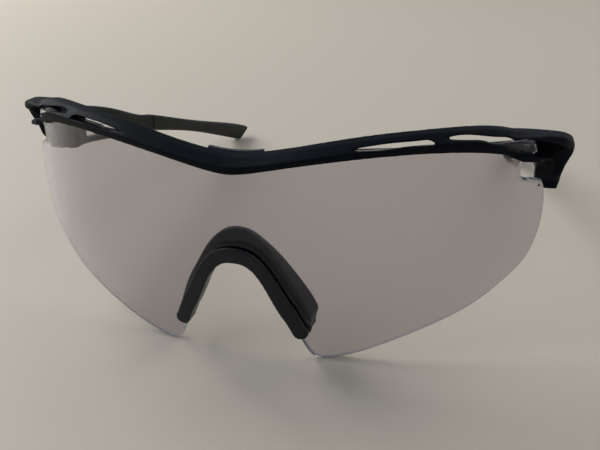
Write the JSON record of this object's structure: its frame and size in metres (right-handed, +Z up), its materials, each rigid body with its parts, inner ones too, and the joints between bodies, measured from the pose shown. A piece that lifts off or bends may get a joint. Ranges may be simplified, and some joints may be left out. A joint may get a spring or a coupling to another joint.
{
  "type": "wraparound sport sunglasses",
  "caption": "Wraparound sport sunglasses: single curved shield lens hung from a vented half-rim brow, clipped nose piece and two folding rubber-ended temples.",
  "frame": {"origin": "centre of the bounding box in plan, on the table under the lens lobes and temple tips", "axes": "+X to the wearer's left, +Y from the lens to the temple tips, +Z up"},
  "size_m": [0.139, 0.178, 0.0542],
  "materials": {
    "frame": "satin moulded nylon",
    "lens": "clear light grey polycarbonate",
    "clip": "matte",
    "pad": "soft matte",
    "temple": "satin moulded nylon",
    "sleeve": "soft matte",
    "wire": "drawn",
    "steel": "turned",
    "brass": "turned",
    "bushing": "moulded acetal"
  },
  "bodies": {
    "front": {"frame_front": "frame", "shield_lens": "lens", "nose_clip": "clip", "nose_pad": "pad", "nose_core": "wire", "brow_bumper": "pad", "hinge_screw_left": "steel", "hinge_screw_right": "steel", "hinge_insert_left": "brass", "hinge_insert_right": "brass"},
    "temple_left": {"temple_arm_left": "temple", "ear_sleeve_left": "sleeve", "temple_core_left": "wire", "hinge_bushing_left": "bushing"},
    "temple_right": {"temple_arm_right": "temple", "ear_sleeve_right": "sleeve", "temple_core_right": "wire", "hinge_bushing_right": "bushing"}
  },
  "joints": [
    {"name": "hinge_left", "type": "hinge", "parent": "front", "child": "temple_left", "pos_m": [0.0645, -0.0448, 0.041], "axis": [0, 0, 1], "range_deg": [0, 90]},
    {"name": "hinge_right", "type": "hinge", "parent": "front", "child": "temple_right", "pos_m": [-0.0645, -0.0448, 0.041], "axis": [0, 0, -1], "range_deg": [0, 85]}
  ]
}
